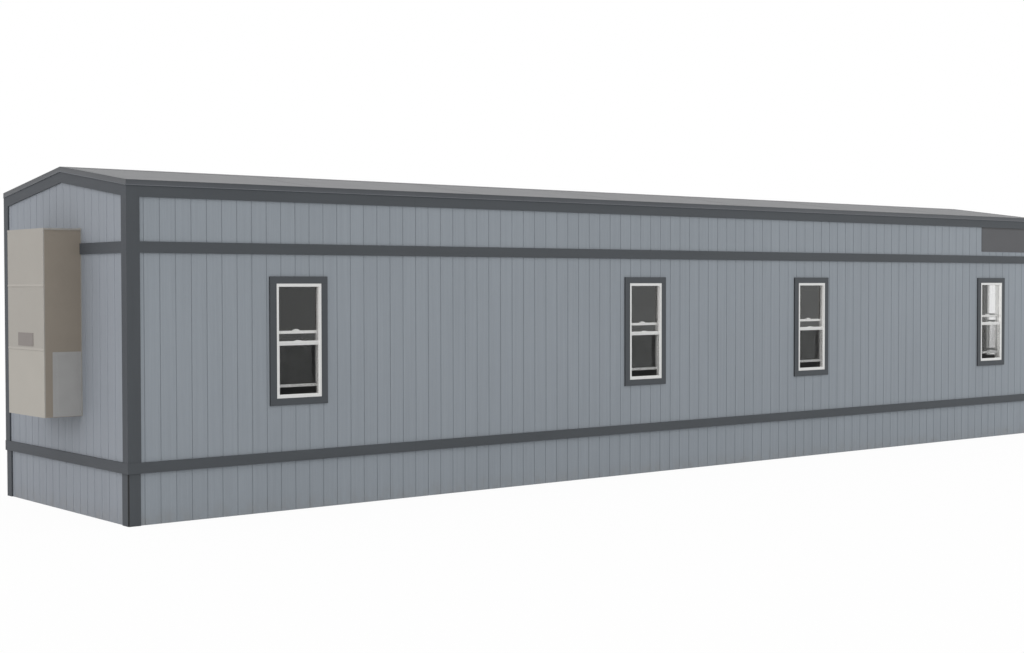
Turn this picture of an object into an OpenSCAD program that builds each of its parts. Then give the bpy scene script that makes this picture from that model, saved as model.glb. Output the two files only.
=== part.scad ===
// Portable site cabin: a 12 ft by 60 ft office box on a steel chassis and block piers, with grooved siding,
// dark trim boards, single-hung windows, a skirt down to the ground and an air conditioner on one gable end.
// Lengths are in millimetres. +X runs along the cabin, the long window side faces -Y, and +Z is up.
// The origin is at ground level under the middle of the overall box.

/* [Cabin] */
// Length over the siding
cabin_length = 18288; // [17600:1:20000]
// Width over the siding
cabin_width = 3581; // [3300:1:4000]
// Ground to the underside of the floor frame
crawl_height = 661; // [560:1:900]
// Depth of the floor frame
floor_frame_depth = 140; // [90:1:240]
// Thickness of the floor deck
deck_thickness = 20; // [12:1:30]
// Floor to ceiling
room_height = 2440; // [2250:1:2700]
// Thickness of the ceiling panel
ceiling_thickness = 16; // [9:1:25]

/* [Walls] */
// Thickness of the stud walls behind the siding
wall_thickness = 102; // [80:1:160]
// Thickness of the siding sheets
siding_thickness = 15; // [11:1:22]
// Distance between siding grooves
groove_pitch = 203.2; // [100:0.1:305]
// Width of a siding groove
groove_width = 9.5; // [5:0.5:20]
// Depth of a siding groove
groove_depth = 3.2; // [2:0.1:8]
// How far the siding hangs below the floor frame
siding_drop = 40; // [20:1:60]
// How far the skirt stands back from the siding
skirt_setback = 10; // [5:1:40]

/* [Trim] */
// Thickness of the trim boards
trim_thickness = 19; // [12:1:30]
// Thickness of the lower belt
lower_belt_thickness = 24; // [12:1:30]
// Width of the lower belt
lower_belt_width = 126; // [100:1:180]
// Width of the upper belt
upper_belt_width = 132; // [100:1:180]
// Width of the fascia and rake boards
fascia_width = 136; // [100:1:180]
// Face width of the corner boards on the long sides
corner_side_face = 168; // [120:1:220]
// Face width of the corner boards on the ends
corner_end_face = 135; // [100:1:220]
// How far the lower belt hangs below the floor frame
lower_belt_drop = 54; // [45:1:100]
// Casing of the tallest opening to the bottom of the upper belt
upper_belt_gap = 178; // [60:1:300]
// Height of the siding band between the upper belt and the fascia
frieze_height = 511; // [430:1:700]
// Width of the skirt's corner boards
skirt_board_width = 143; // [100:1:180]
// How far a front skirt board reaches past the skirt's corner
skirt_board_lap = 8; // [2:1:12]
// Open gap between the two skirt boards of a front corner
skirt_corner_gap = 3; // [1:1:10]

/* [Roof] */
// Rise of the roof from eave to ridge
roof_rise = 247; // [100:1:500]
// Plumb thickness of the roof panels
roof_thickness = 58; // [40:1:120]
// Thickness of the drip edges
edge_gauge = 3; // [2:0.5:6]
// Height of a drip edge's face
edge_face = 62; // [45:1:100]
// Width of a drip edge's flange on the roof
edge_flange = 70; // [40:1:120]
// How far the foot of a drip edge stands out
edge_lip = 11; // [6:1:20]

/* [Windows] */
// Width of a window
window_width = 650; // [560:1:800]
// Height of a window
window_height = 1408; // [1250:1:1500]
// Floor to the foot of a window
window_sill_height = 569; // [500:1:750]
// Width of the casing boards round a window or door
casing_width = 89; // [50:1:110]
// Face width of the window jambs
jamb_face = 34; // [25:1:50]
// Face height of the window head
head_face = 38; // [25:1:60]
// Face height of the window sill
sill_face = 32; // [25:1:60]
// How far the window frame stands out of the siding
frame_proud = 21; // [4:1:30]
// How far the window frame reaches in from the siding's face
frame_reach = 117; // [93:1:130]
// Thickness of the frame beside the sliding sash
liner_face = 8; // [4:1:12]
// Foot of the window to the underside of the meeting rail
meeting_rail_height = 661; // [600:1:700]
// Height of the meeting rail
meeting_rail = 38; // [30:1:60]
// Height of the sliding lower sash
sash_height = 697; // [650:1:740]
// How far the lower sash stands raised above the sill
sash_raise = 97; // [0:1:120]
// Face height of the sash rails
sash_rail = 36; // [25:1:45]
// Face width of the sash stiles
sash_stile = 28; // [20:1:45]
// Thickness of the sash
sash_thickness = 28; // [20:1:30]
// Thickness of the window panes
glass_thickness = 6; // [4:1:10]
// Width of a sash lock
lock_width = 105; // [60:1:120]
// Height of a sash lock
lock_height = 20; // [12:1:30]
// Face width of the insect screen's frame
screen_face = 13; // [8:1:20]
// How far the insect screen stands back from the frame's face
screen_setback = 11; // [2:1:15]
// Thickness of the insect screen's frame
screen_thickness = 8; // [6:1:12]
// Thickness of the insect screen's mesh
mesh_thickness = 1; // [1:0.5:2]
// Left end of the siding to the middle of the first front window
window_1_from_left = 2280; // [1200:1:2600]
// Middle of the cabin to the middle of the second front window
window_2_from_middle = 927; // [500:1:1500]
// Middle of the cabin to the middle of the third front window
window_3_from_middle = 2794; // [2400:1:3200]
// Right end of the siding to the middle of the last front window
window_4_from_right = 1381; // [1000:1:2000]
// Front of the siding to the middle of the right end's window
end_window_from_front = 682; // [600:1:900]

/* [Door] */
// Width of the door leaf
door_width = 914; // [800:1:1000]
// Height of the door leaf
door_height = 2032; // [1950:1:2100]
// Thickness of the door leaf
door_thickness = 44; // [35:1:50]
// Running gap round the door leaf
door_gap = 3; // [2:0.5:6]
// Face width of the door frame
door_jamb = 32; // [25:1:50]
// How far the door stop laps the leaf
door_stop = 14; // [8:1:20]
// How far the leaf stands back from the siding's face
door_setback = 30; // [20:1:40]
// Height of the lever above the floor
lever_height = 965; // [900:1:1050]
// Left end of the siding to the middle of the door
door_from_left = 5245; // [4600:1:6000]

/* [Air conditioner] */
// Width of the cabinet
ac_width = 1090; // [900:1:1250]
// Depth of the unit off the siding
ac_depth = 475; // [380:1:560]
// Height of the whole unit
ac_height = 2261; // [2100:1:2400]
// Floor to the foot of the unit
ac_foot_height = 381; // [300:1:500]
// Height of the lower front panel
ac_lower_panel = 795; // [700:1:900]
// Height of the upper front panel
ac_upper_panel = 680; // [500:1:750]
// Thickness of the front panels
ac_panel_thickness = 14; // [8:1:25]
// Gap between the front panels
ac_panel_gap = 4; // [2:1:15]
// Height of the sloped lip at the foot of a front panel
ac_lip_height = 26; // [12:1:40]
// How far that lip stands out
ac_lip_proud = 5; // [2:1:12]
// Thickness of the top cap
ac_cap_thickness = 20; // [10:1:30]
// How far the top cap stands out over the cabinet
ac_cap_lip = 8; // [4:1:15]
// Cabinet's front edge to the coil guard
ac_guard_margin = 124; // [40:1:150]
// Siding and the unit's foot to the coil guard
ac_guard_edge = 6; // [3:1:20]
// Coil guard to the top of the lower panel
ac_guard_head = 14; // [10:1:60]
// Depth of the coil guard's recess
ac_guard_recess = 22; // [15:1:40]
// Thickness of the coil guard
ac_guard_thickness = 6; // [4:1:12]
// Width of the vent plate
ac_plate_width = 450; // [300:1:550]
// Height of the vent plate
ac_plate_height = 158; // [100:1:200]
// Lip of the middle panel to the vent plate
ac_plate_gap = 21; // [5:1:60]
// Thickness of the vent plate
ac_plate_thickness = 5; // [3:1:10]

/* [Sign] */
// Width of the blank sign board
sign_width = 1400; // [800:1:1600]
// Upper belt to the foot of the sign board
sign_foot_gap = 74; // [20:1:200]
// Thickness of the sign board
sign_thickness = 8; // [4:1:15]
// Right end of the siding to the sign board
sign_from_right = 268; // [180:1:500]

/* [Chassis] */
// Distance between the webs of the main beams
beam_spacing = 1900; // [1500:1:2300]
// Depth of the main beams
beam_depth = 254; // [150:1:300]
// Width of the beam flanges
beam_flange = 102; // [70:1:130]
// Thickness of the beam flanges
beam_flange_thickness = 8; // [6:1:14]
// Thickness of the beam webs
beam_web = 6; // [4:1:10]
// Siding's end to the end of the main beams
beam_inset = 300; // [200:1:600]
// Number of cross members
cross_member_count = 9; // [5:1:13]
// Height of a cross member
cross_member_height = 102; // [60:1:130]
// Width of a cross member
cross_member_width = 51; // [30:1:80]
// Thickness of the outrigger plates
outrigger_thickness = 8; // [5:1:15]
// Number of piers under each beam
pier_count = 8; // [5:1:12]
// Length of a pier block
block_length = 390; // [300:1:450]
// Width of a pier block
block_width = 190; // [150:1:300]
// Thickness of the pad under a pier
pad_thickness = 50; // [30:1:80]
// How far the pad stands out round the blocks
pad_margin = 80; // [40:1:120]
// Thickness of the wooden cap on a pier
pier_cap = 38; // [20:1:60]

/* [Hidden] */

$fn = 48;

// Colours
siding_grey = "#8a9299";
trim_grey = "#4d5256";
roof_grey = "#8f9294";
vinyl_white = "#e4e5e3";
glass_grey = "#3c4042";
mesh_grey = "#2c2e2f";
beige = "#aaa69b";
beige_shade = "#8f897f";
coil_grey = "#8b8e8d";
steel_grey = "#3a3d40";
block_grey = "#9b9a96";
timber = "#b49a74";
lining = "#c9c8c2";

// Heights above the ground
floor_z = crawl_height + floor_frame_depth + deck_thickness;
siding_foot_z = crawl_height - siding_drop;
lower_belt_z = crawl_height - lower_belt_drop;
door_head_z = floor_z + door_height + door_gap + door_jamb;
window_head_z = floor_z + window_sill_height + window_height;
upper_belt_z = max(door_head_z, window_head_z) + casing_width + upper_belt_gap;
ceiling_z = floor_z + room_height;
eave_under_z = upper_belt_z + upper_belt_width + frieze_height + fascia_width;
eave_z = eave_under_z + roof_thickness;
ridge_z = eave_z + roof_rise;

// Half sizes of the box: over the siding, over the trim boards, over the stud walls, and inside the room
half_length = cabin_length / 2;
half_width = cabin_width / 2;
trim_half_length = half_length + trim_thickness;
trim_half_width = half_width + trim_thickness;
core_half_length = half_length - siding_thickness;
core_half_width = half_width - siding_thickness;
room_half_length = core_half_length - wall_thickness;
room_half_width = core_half_width - wall_thickness;
skirt_half_length = half_length - skirt_setback;
skirt_half_width = half_width - skirt_setback;

// The roof's top falls by this much for each millimetre away from the ridge
roof_slope = roof_rise / trim_half_width;

// Lengthways shift that puts the origin under the middle of the overall box
cabin_x = (ac_depth + max(ac_plate_thickness, ac_lip_proud) - trim_thickness - edge_lip) / 2;

// Middles of the windows along the front and back walls, and of the door
front_window_places = [
    window_1_from_left - half_length,
    -window_2_from_middle,
    window_3_from_middle,
    half_length - window_4_from_right
];
back_window_places = [front_window_places[0], front_window_places[1], front_window_places[3]];
end_window_place = end_window_from_front - half_width;
door_place = door_from_left - half_length;

// Depths in the wall, measured inward from the siding's face
upper_pane_depth = 25;
meeting_rail_depth = [4, 40];
sash_depth = 50;
screen_depth = screen_setback - frame_proud;

// Sizes of the window's clear opening
pane_width = window_width - 2 * jamb_face;
sash_width = window_width - 2 * liner_face;
sash_foot = sill_face + sash_raise;

// Sizes of the door opening
door_opening_width = door_width + 2 * (door_gap + door_jamb);
door_opening_height = door_head_z - floor_z;
wall_depth = siding_thickness + wall_thickness;

// Sizes of the air conditioner
ac_foot_z = floor_z + ac_foot_height;
ac_front = ac_depth - ac_panel_thickness;
ac_body_top_z = ac_foot_z + ac_height - ac_cap_thickness;
ac_seam_1_z = ac_foot_z + ac_lower_panel;
ac_seam_2_z = ac_body_top_z - ac_upper_panel;
ac_guard_length = ac_front - ac_guard_edge - ac_guard_margin;
ac_guard_height = ac_lower_panel - ac_guard_edge - ac_guard_head;

// Height of the roof's top above the ground at a distance from the ridge
function roof_top(y) = ridge_z - roof_slope * abs(y);

// Evenly spaced places along the cabin, with the first and last at a distance from the siding's ends
function stations(count, inset) =
    [for (i = [0 : count - 1]) -half_length + inset + i * (cabin_length - 2 * inset) / (count - 1)];

// General shapes

// A box between its lowest and highest corners
module box(low, high) {
    translate(low) cube(high - low);
}

// A (y, z) outline drawn out along the cabin
module along_x(from, to) {
    translate([from, 0, 0]) rotate([90, 0, 90]) linear_extrude(to - from) children();
}

// A (y, z) band that follows both roof slopes, between two offsets from the roof's top
module roof_band(half_span, lower, upper) {
    edge = roof_top(half_span);
    polygon([
        [-half_span, edge + lower], [0, ridge_z + lower], [half_span, edge + lower],
        [half_span, edge + upper], [0, ridge_z + upper], [-half_span, edge + upper]
    ]);
}

// All the space under the roof panels
module under_roof() {
    along_x(-trim_half_length, trim_half_length)
        polygon([
            [-trim_half_width, 0], [trim_half_width, 0], [trim_half_width, eave_under_z],
            [0, ridge_z - roof_thickness], [-trim_half_width, eave_under_z]
        ]);
}

// An upright rectangle with a rectangular hole, drawn out in depth; margins are [side, foot, head]
module picture_frame(width, height, margins, depth) {
    rotate([90, 0, 0]) translate([0, 0, -depth[1]]) linear_extrude(depth[1] - depth[0])
        difference() {
            translate([-width / 2, 0]) square([width, height]);
            translate([margins[0] - width / 2, margins[1]])
                square([width - 2 * margins[0], height - margins[1] - margins[2]]);
        }
}

// Placing on the four sides: the child's own -Y faces out of the wall, and its origin is on the siding's face

module on_front(x) {
    translate([x, -half_width, 0]) children();
}

module on_back(x) {
    translate([x, half_width, 0]) rotate([0, 0, 180]) children();
}

module on_left_end(y) {
    translate([-half_length, y, 0]) rotate([0, 0, -90]) children();
}

module on_right_end(y) {
    translate([half_length, y, 0]) rotate([0, 0, 90]) children();
}

module at_front_windows() {
    for (x = front_window_places) on_front(x) children();
}

module at_back_windows() {
    for (x = back_window_places) on_back(x) children();
}

module at_every_window() {
    at_front_windows() children();
    at_back_windows() children();
    on_right_end(end_window_place) children();
}

// The same piece at both ends or both sides
module both_sides() {
    children();
    mirror([0, 1, 0]) children();
}

module both_ends() {
    children();
    mirror([1, 0, 0]) children();
}

// Cut-outs through siding and wall

module window_opening() {
    foot = floor_z + window_sill_height;
    box([-window_width / 2, -trim_thickness, foot], [window_width / 2, 2 * wall_depth, foot + window_height]);
}

module door_opening() {
    box([-door_opening_width / 2, -trim_thickness, floor_z],
        [door_opening_width / 2, 2 * wall_depth, floor_z + door_opening_height]);
}

// Chassis and piers

module main_beams() {
    web = beam_web / 2;
    flange = beam_flange / 2;
    color(steel_grey) both_sides()
        translate([0, beam_spacing / 2, crawl_height - beam_depth])
            along_x(beam_inset - half_length, half_length - beam_inset) {
                translate([-flange, 0]) square([beam_flange, beam_flange_thickness]);
                translate([-web, 0]) square([beam_web, beam_depth]);
                translate([-flange, beam_depth - beam_flange_thickness])
                    square([beam_flange, beam_flange_thickness]);
            }
}

module cross_members() {
    reach = beam_spacing / 2 - beam_web / 2;
    foot = crawl_height - beam_depth / 2 - cross_member_height / 2;
    color(steel_grey)
        for (x = stations(cross_member_count, beam_inset + cross_member_width))
            box([x - cross_member_width / 2, -reach, foot],
                [x + cross_member_width / 2, reach, foot + cross_member_height]);
}

// Tapered brackets that carry the edge of the floor frame from the beam's web
module outriggers() {
    web = (beam_spacing + beam_web) / 2;
    flange = (beam_spacing + beam_flange) / 2;
    tip = skirt_half_width - siding_thickness - beam_flange_thickness;
    tip_height = cross_member_width;
    under_flange = crawl_height - beam_flange_thickness;
    heel = crawl_height - beam_depth + beam_flange_thickness;
    color(steel_grey)
        for (x = stations(cross_member_count, beam_inset + cross_member_width))
            both_sides()
                along_x(x - outrigger_thickness / 2, x + outrigger_thickness / 2)
                    polygon([
                        [web, heel], [web, under_flange], [flange, under_flange], [flange, crawl_height],
                        [tip, crawl_height], [tip, crawl_height - tip_height], [flange, heel]
                    ]);
}

module piers() {
    top = crawl_height - beam_depth;
    pad = [block_length / 2 + pad_margin, block_width / 2 + pad_margin];
    color(block_grey) both_sides()
        for (x = stations(pier_count, beam_inset + block_length))
            translate([x, beam_spacing / 2, 0]) {
                box([-pad[0], -pad[1], 0], [pad[0], pad[1], pad_thickness]);
                box([-block_width / 2, -block_length / 2, pad_thickness],
                    [block_width / 2, block_length / 2, top - pier_cap]);
                box([-block_width / 2, -beam_flange / 2, top - pier_cap],
                    [block_width / 2, beam_flange / 2, top]);
            }
}

// Floor and ceiling

module floor_frame() {
    color(steel_grey)
        box([-core_half_length, -core_half_width, crawl_height],
            [core_half_length, core_half_width, crawl_height + floor_frame_depth]);
}

module floor_deck() {
    color(timber)
        box([-core_half_length, -core_half_width, floor_z - deck_thickness],
            [core_half_length, core_half_width, floor_z]);
}

module ceiling() {
    color(lining)
        box([-room_half_length, -room_half_width, ceiling_z],
            [room_half_length, room_half_width, ceiling_z + ceiling_thickness]);
}

// Stud walls

module long_wall() {
    intersection() {
        box([-core_half_length, -core_half_width, floor_z], [core_half_length, -room_half_width, ridge_z]);
        under_roof();
    }
}

module end_wall() {
    intersection() {
        box([-core_half_length, -room_half_width, floor_z], [-room_half_length, room_half_width, ridge_z]);
        under_roof();
    }
}

module front_wall() {
    color(lining) difference() {
        long_wall();
        at_front_windows() window_opening();
    }
}

module back_wall() {
    color(lining) difference() {
        mirror([0, 1, 0]) long_wall();
        at_back_windows() window_opening();
        on_back(door_place) door_opening();
    }
}

module left_end_wall() {
    color(lining) end_wall();
}

module right_end_wall() {
    color(lining) difference() {
        mirror([1, 0, 0]) end_wall();
        on_right_end(end_window_place) window_opening();
    }
}

// Siding and skirt

// An upright grooved sheet from x = 0, with its face on y = 0; start is where it begins in the groove pattern
module grooved_sheet(length, height, start) {
    groove_middles = [
        for (i = [1 : ceil((length + start) / groove_pitch)])
            let (x = i * groove_pitch - start)
                if (x > groove_width && x < length - groove_width) x
    ];
    linear_extrude(height)
        polygon(concat(
            [[0, siding_thickness], [0, 0]],
            [
                for (x = groove_middles)
                    for (side = [-1, 1])
                        for (depth = side < 0 ? [0, groove_depth] : [groove_depth, 0])
                            [x + side * groove_width / 2, depth]
            ],
            [[length, 0], [length, siding_thickness]]
        ));
}

module long_siding() {
    intersection() {
        translate([-half_length, -half_width, siding_foot_z])
            grooved_sheet(cabin_length, ridge_z - siding_foot_z, 0);
        under_roof();
    }
}

module end_siding() {
    intersection() {
        on_left_end(0) translate([-core_half_width, 0, siding_foot_z])
            grooved_sheet(2 * core_half_width, ridge_z - siding_foot_z, siding_thickness);
        under_roof();
    }
}

module front_siding() {
    color(siding_grey) difference() {
        long_siding();
        at_front_windows() window_opening();
    }
}

module back_siding() {
    color(siding_grey) difference() {
        mirror([0, 1, 0]) long_siding();
        at_back_windows() window_opening();
        on_back(door_place) door_opening();
    }
}

module left_end_siding() {
    color(siding_grey) end_siding();
}

module right_end_siding() {
    color(siding_grey) difference() {
        mirror([1, 0, 0]) end_siding();
        on_right_end(end_window_place) window_opening();
    }
}

module front_skirt() {
    color(siding_grey)
        translate([-skirt_half_length, -skirt_half_width, 0])
            grooved_sheet(2 * skirt_half_length, siding_foot_z, skirt_setback);
}

module back_skirt() {
    mirror([0, 1, 0]) front_skirt();
}

module left_end_skirt() {
    reach = skirt_half_width - siding_thickness;
    color(siding_grey)
        on_left_end(0) translate([-reach, skirt_setback, 0])
            grooved_sheet(2 * reach, siding_foot_z, skirt_setback + siding_thickness);
}

module right_end_skirt() {
    mirror([1, 0, 0]) left_end_skirt();
}

// Two boards at each skirt corner: a front corner stays open between them, and a back corner is lapped
module skirt_corner_boards() {
    face = skirt_half_width + trim_thickness;
    front_start = skirt_corner_gap - skirt_half_width;
    color(trim_grey) both_ends() translate([-skirt_half_length, 0, 0]) {
        box([-skirt_board_lap, -face, 0],
            [skirt_board_width - skirt_board_lap, -skirt_half_width, lower_belt_z]);
        box([-trim_thickness, front_start, 0], [0, front_start + skirt_board_width, lower_belt_z]);
        box([-trim_thickness, face - skirt_board_width, 0], [0, face, lower_belt_z]);
        box([0, skirt_half_width, 0], [skirt_board_width - trim_thickness, face, lower_belt_z]);
    }
}

// Trim boards

module lower_belt_sides() {
    reach = half_length + lower_belt_thickness;
    color(trim_grey) both_sides()
        box([-reach, -half_width - lower_belt_thickness, lower_belt_z],
            [reach, -half_width, lower_belt_z + lower_belt_width]);
}

module lower_belt_ends() {
    color(trim_grey) both_ends()
        box([-half_length - lower_belt_thickness, -half_width, lower_belt_z],
            [-half_length, half_width, lower_belt_z + lower_belt_width]);
}

// Upright angle of two boards at each corner, from the lower belt to the roof
module corner_boards() {
    foot = lower_belt_z + lower_belt_width;
    side_edge = corner_side_face - trim_thickness;
    end_edge = corner_end_face - trim_thickness;
    color(trim_grey) both_sides() both_ends()
        intersection() {
            translate([-half_length, -half_width, foot])
                linear_extrude(ridge_z - foot)
                    polygon([
                        [-trim_thickness, -trim_thickness], [side_edge, -trim_thickness], [side_edge, 0],
                        [0, 0], [0, end_edge], [-trim_thickness, end_edge]
                    ]);
            under_roof();
        }
}

// Belt boards between the corner boards; the air conditioner parts the one on the left end
module upper_belt() {
    side_reach = trim_half_length - corner_side_face;
    end_reach = trim_half_width - corner_end_face;
    top = upper_belt_z + upper_belt_width;
    color(trim_grey) {
        both_sides()
            box([-side_reach, -trim_half_width, upper_belt_z], [side_reach, -half_width, top]);
        both_sides()
            box([-trim_half_length, -end_reach, upper_belt_z], [-half_length, -ac_width / 2, top]);
        box([half_length, -end_reach, upper_belt_z], [trim_half_length, end_reach, top]);
    }
}

module fascia_boards() {
    reach = trim_half_length - corner_side_face;
    color(trim_grey) both_sides()
        box([-reach, -trim_half_width, eave_under_z - fascia_width], [reach, -half_width, eave_under_z]);
}

module rake_boards() {
    reach = trim_half_width - corner_end_face;
    color(trim_grey) both_ends()
        along_x(-trim_half_length, -half_length)
            roof_band(reach, -roof_thickness - fascia_width, -roof_thickness);
}

// Roof

module roof_front_slope() {
    color(roof_grey)
        along_x(-trim_half_length, trim_half_length)
            polygon([
                [-trim_half_width, eave_under_z], [-trim_half_width, eave_z],
                [0, ridge_z], [0, ridge_z - roof_thickness]
            ]);
}

module roof_back_slope() {
    mirror([0, 1, 0]) roof_front_slope();
}

// Folded metal along the eaves: a flange on the roof, a face over its edge and a foot that kicks out
module eave_drip_edges() {
    edge = -trim_half_width;
    foot = eave_z - edge_face;
    kick = edge_lip - edge_gauge;
    flange_z = roof_top(trim_half_width - edge_flange);
    color(trim_grey) both_sides()
        along_x(-trim_half_length, trim_half_length)
            polygon([
                [edge, eave_z], [edge, foot + kick], [edge - kick, foot], [edge - edge_lip, foot],
                [edge - edge_gauge, foot + kick], [edge - edge_gauge, eave_z + edge_gauge],
                [edge, eave_z + edge_gauge], [edge + edge_flange, flange_z + edge_gauge],
                [edge + edge_flange, flange_z]
            ]);
}

module rake_drip_edges() {
    reach = trim_half_width + edge_gauge;
    color(trim_grey) both_ends() {
        along_x(-trim_half_length - edge_gauge, -trim_half_length)
            roof_band(reach, -edge_face, edge_gauge);
        along_x(-trim_half_length - edge_lip, -trim_half_length - edge_gauge)
            roof_band(reach, -edge_face, edge_gauge - edge_face);
        along_x(-trim_half_length, -trim_half_length + edge_flange)
            roof_band(trim_half_width - edge_flange, 0, edge_gauge);
    }
}

// Windows

module window_foot() {
    translate([0, 0, floor_z + window_sill_height]) children();
}

module window_casings() {
    color(trim_grey) at_every_window() window_foot()
        translate([0, 0, -casing_width])
            picture_frame(window_width + 2 * casing_width, window_height + 2 * casing_width,
                [casing_width, casing_width, casing_width], [-trim_thickness, 0]);
}

// A low round-topped lock, standing on z = 0
module sash_lock(width, height, depth) {
    radius = (width * width / 4 + height * height) / (2 * height);
    rotate([90, 0, 0]) translate([0, 0, -depth[1]]) linear_extrude(depth[1] - depth[0])
        intersection() {
            translate([0, height - radius]) circle(radius);
            translate([-width / 2, 0]) square([width, height]);
        }
}

// Fixed frame with its meeting rail and the lock's keeper; the jambs step back beside the sliding sash
module window_frames() {
    keeper_foot = meeting_rail_height + meeting_rail;
    keeper_depth = [meeting_rail_depth[0], upper_pane_depth];
    color(vinyl_white) at_every_window() window_foot() {
        picture_frame(window_width, window_height, [jamb_face, sill_face, head_face], [-frame_proud, sash_depth]);
        picture_frame(window_width, window_height, [liner_face, sill_face, head_face], [sash_depth, frame_reach]);
        box([-pane_width / 2, meeting_rail_depth[0], meeting_rail_height],
            [pane_width / 2, meeting_rail_depth[1], keeper_foot]);
        translate([0, 0, keeper_foot]) sash_lock(lock_width, lock_height / 2, keeper_depth);
    }
}

module lower_sashes() {
    depth = [sash_depth, sash_depth + sash_thickness];
    color(vinyl_white) at_every_window() window_foot()
        translate([0, 0, sash_foot]) {
            picture_frame(sash_width, sash_height, [sash_stile, sash_rail, sash_rail], depth);
            translate([0, 0, sash_height]) sash_lock(lock_width, lock_height, depth);
        }
}

module window_glass() {
    upper_foot = meeting_rail_height + meeting_rail;
    sash_pane_depth = sash_depth + (sash_thickness - glass_thickness) / 2;
    sash_pane_reach = sash_width / 2 - sash_stile;
    color(glass_grey) at_every_window() window_foot() {
        box([-pane_width / 2, upper_pane_depth, upper_foot],
            [pane_width / 2, upper_pane_depth + glass_thickness, window_height - head_face]);
        box([-sash_pane_reach, sash_pane_depth, sash_foot + sash_rail],
            [sash_pane_reach, sash_pane_depth + glass_thickness, sash_foot + sash_height - sash_rail]);
    }
}

// Framed mesh over the lower half, in front of the sliding sash
module insect_screens() {
    height = meeting_rail_height - sill_face;
    mesh_depth = screen_depth + (screen_thickness - mesh_thickness) / 2;
    color(mesh_grey) at_every_window() window_foot()
        translate([0, 0, sill_face]) {
            picture_frame(pane_width, height, [screen_face, screen_face, screen_face],
                [screen_depth, screen_depth + screen_thickness]);
            box([screen_face - pane_width / 2, mesh_depth, screen_face],
                [pane_width / 2 - screen_face, mesh_depth + mesh_thickness, height - screen_face]);
        }
}

// Door

module door_casing() {
    width = door_opening_width + 2 * casing_width;
    height = door_opening_height + casing_width;
    color(trim_grey) on_back(door_place) translate([0, 0, floor_z])
        picture_frame(width, height, [casing_width, 0, casing_width], [-trim_thickness, 0]);
}

// Jambs and head, with a stop that the leaf closes against
module door_frame() {
    stop_depth = door_setback + door_thickness;
    lap = door_jamb + door_gap + door_stop;
    color(trim_grey) on_back(door_place) translate([0, 0, floor_z]) {
        picture_frame(door_opening_width, door_opening_height, [door_jamb, 0, door_jamb], [0, wall_depth]);
        picture_frame(door_opening_width, door_opening_height, [lap, 0, lap], [stop_depth, wall_depth]);
    }
}

module door_leaf() {
    color(trim_grey) on_back(door_place)
        box([-door_width / 2, door_setback, floor_z],
            [door_width / 2, door_setback + door_thickness, floor_z + door_height]);
}

// Round rose, neck and lever on both faces of the leaf
module door_lever() {
    rose = 32;
    neck = 11;
    lever = [120, 20];
    plate = 8;
    stand = 44;
    backset = 70;
    color(coil_grey) on_back(door_place)
        for (face = [0, 1])
            translate([door_width / 2 - backset, door_setback + face * door_thickness, floor_z + lever_height])
                mirror([0, face, 0]) rotate([90, 0, 0]) {
                    cylinder(h = plate, r = rose);
                    cylinder(h = stand, r = neck);
                    translate([neck - lever[0], -lever[1] / 2, stand - neck]) cube([lever[0], lever[1], neck]);
                }
}

// Air conditioner on the left end

module ac_place() {
    on_left_end(0) translate([0, 0, ac_foot_z]) children();
}

// Sheet-metal housing with a recess for a coil guard in each lower side
module ac_cabinet() {
    color(beige_shade) ac_place()
        difference() {
            box([-ac_width / 2, -ac_front, 0], [ac_width / 2, 0, ac_body_top_z - ac_foot_z]);
            both_ends() ac_guard_place()
                cube([ac_guard_recess, ac_guard_length, ac_guard_height]);
        }
}

// Lowest corner of the recess in the left side of the cabinet
module ac_guard_place() {
    translate([-ac_width / 2, -ac_guard_edge - ac_guard_length, ac_guard_edge]) children();
}

// Three panels; the two upper ones end in a sloped lip over the seam below
module ac_front_panels() {
    seams = [ac_seam_1_z - ac_foot_z, ac_seam_2_z - ac_foot_z];
    feet = [0, seams[0] + ac_panel_gap, seams[1] + ac_panel_gap];
    tops = [seams[0], seams[1], ac_body_top_z - ac_foot_z];
    lips = [0, ac_lip_proud, ac_lip_proud];
    color(beige) ac_place()
        for (i = [0 : 2])
            along_x(-ac_width / 2, ac_width / 2)
                polygon([
                    [-ac_front, feet[i]], [-ac_depth - lips[i], feet[i]], [-ac_depth, feet[i] + ac_lip_height],
                    [-ac_depth, tops[i]], [-ac_front, tops[i]]
                ]);
}

module ac_top_cap() {
    reach = ac_width / 2 + ac_cap_lip;
    color(beige) ac_place()
        box([-reach, -ac_depth, ac_body_top_z - ac_foot_z], [reach, 0, ac_height]);
}

// Plate that closes the recess in each lower side
module ac_coil_guards() {
    color(coil_grey) ac_place() both_ends() ac_guard_place()
        cube([ac_guard_thickness, ac_guard_length, ac_guard_height]);
}

module ac_vent_plate() {
    foot = ac_seam_1_z - ac_foot_z + ac_panel_gap + ac_lip_height + ac_plate_gap;
    color(beige_shade) ac_place()
        box([-ac_plate_width / 2, -ac_depth - ac_plate_thickness, foot],
            [ac_plate_width / 2, -ac_depth, foot + ac_plate_height]);
}

// Blank sign board under the front fascia
module sign_board() {
    foot = upper_belt_z + upper_belt_width + sign_foot_gap;
    color(trim_grey) on_front(half_length - sign_from_right - sign_width / 2)
        box([-sign_width / 2, -sign_thickness, foot], [sign_width / 2, 0, eave_under_z - fascia_width]);
}

module placed() {
    translate([cabin_x, 0, 0]) children();
}

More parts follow.
